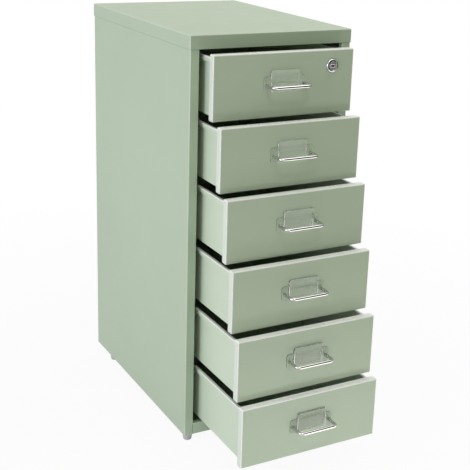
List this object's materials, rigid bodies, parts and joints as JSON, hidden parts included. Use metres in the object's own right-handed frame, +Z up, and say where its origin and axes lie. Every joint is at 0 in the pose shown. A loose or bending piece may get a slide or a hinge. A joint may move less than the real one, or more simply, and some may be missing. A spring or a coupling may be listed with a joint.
{
  "type": "metal drawer cabinet",
  "caption": "Slim freestanding steel cabinet with a column of equal drawers on side runners, wire handles, clear label holders, a cam lock on the top drawer and small plastic feet.",
  "frame": {"origin": "on the floor, in the middle of the cabinet's plan over the lid", "axes": "+Z up, +X to the right as seen from the front, +Y to the back; the drawers open towards -Y"},
  "size_m": [0.28, 0.5864, 0.6688],
  "materials": {
    "carcass_paint": "satin powder coat, sage green",
    "drawer_paint": "satin powder coat, sage green",
    "runner_steel": "zinc-plated sheet steel, dull",
    "zinc_steel": "bright zinc plate",
    "chrome": "polished chrome plate",
    "lock_chrome": "chrome plate, lightly brushed face",
    "lock_nickel": "turned nickel plate",
    "clear_plastic": "clear moulded plastic",
    "foot_plastic": "light grey moulded plastic"
  },
  "bodies": {
    "cabinet": {"back_panel": "carcass_paint", "back_panel_screws": "zinc_steel", "bottom_panel": "carcass_paint", "foot_front_left": "foot_plastic", "foot_front_right": "foot_plastic", "foot_nuts": "zinc_steel", "foot_rear_left": "foot_plastic", "foot_rear_right": "foot_plastic", "foot_studs": "zinc_steel", "lid": "carcass_paint", "runner_left_1": "runner_steel", "runner_left_2": "runner_steel", "runner_left_3": "runner_steel", "runner_left_4": "runner_steel", "runner_left_5": "runner_steel", "runner_left_6": "runner_steel", "runner_right_1": "runner_steel", "runner_right_2": "runner_steel", "runner_right_3": "runner_steel", "runner_right_4": "runner_steel", "runner_right_5": "runner_steel", "runner_right_6": "runner_steel", "side_panel_left": "carcass_paint", "side_panel_right": "carcass_paint"},
    "drawer_1": {"drawer_1_front": "drawer_paint", "drawer_1_handle": "chrome", "drawer_1_handle_screws": "zinc_steel", "drawer_1_label_holder": "clear_plastic", "drawer_1_lock_housing": "lock_chrome", "drawer_1_lock_nut": "zinc_steel", "drawer_1_tray": "drawer_paint"},
    "drawer_2": {"drawer_2_front": "drawer_paint", "drawer_2_handle": "chrome", "drawer_2_handle_screws": "zinc_steel", "drawer_2_label_holder": "clear_plastic", "drawer_2_tray": "drawer_paint"},
    "drawer_3": {"drawer_3_front": "drawer_paint", "drawer_3_handle": "chrome", "drawer_3_handle_screws": "zinc_steel", "drawer_3_label_holder": "clear_plastic", "drawer_3_tray": "drawer_paint"},
    "drawer_4": {"drawer_4_front": "drawer_paint", "drawer_4_handle": "chrome", "drawer_4_handle_screws": "zinc_steel", "drawer_4_label_holder": "clear_plastic", "drawer_4_tray": "drawer_paint"},
    "drawer_5": {"drawer_5_front": "drawer_paint", "drawer_5_handle": "chrome", "drawer_5_handle_screws": "zinc_steel", "drawer_5_label_holder": "clear_plastic", "drawer_5_tray": "drawer_paint"},
    "drawer_6": {"drawer_6_front": "drawer_paint", "drawer_6_handle": "chrome", "drawer_6_handle_screws": "zinc_steel", "drawer_6_label_holder": "clear_plastic", "drawer_6_tray": "drawer_paint"},
    "lock_core": {"drawer_1_lock_plug": "lock_nickel", "drawer_1_lock_cam": "zinc_steel", "drawer_1_lock_cam_screw": "zinc_steel"}
  },
  "joints": [
    {"name": "drawer_1_slide", "type": "slide", "parent": "cabinet", "child": "drawer_1", "axis": [0, -1, 0], "range_m": [-0.0385, 0.2415]},
    {"name": "drawer_2_slide", "type": "slide", "parent": "cabinet", "child": "drawer_2", "axis": [0, -1, 0], "range_m": [-0.067, 0.213]},
    {"name": "drawer_3_slide", "type": "slide", "parent": "cabinet", "child": "drawer_3", "axis": [0, -1, 0], "range_m": [-0.0925, 0.1875]},
    {"name": "drawer_4_slide", "type": "slide", "parent": "cabinet", "child": "drawer_4", "axis": [0, -1, 0], "range_m": [-0.1165, 0.1635]},
    {"name": "drawer_5_slide", "type": "slide", "parent": "cabinet", "child": "drawer_5", "axis": [0, -1, 0], "range_m": [-0.14, 0.14]},
    {"name": "drawer_6_slide", "type": "slide", "parent": "cabinet", "child": "drawer_6", "axis": [0, -1, 0], "range_m": [-0.159, 0.121]},
    {"name": "lock_turn", "type": "hinge", "parent": "drawer_1", "child": "lock_core", "pos_m": [0.082, -0.2375, 0.6198], "axis": [0, 1, 0], "range_deg": [0, 90]}
  ]
}
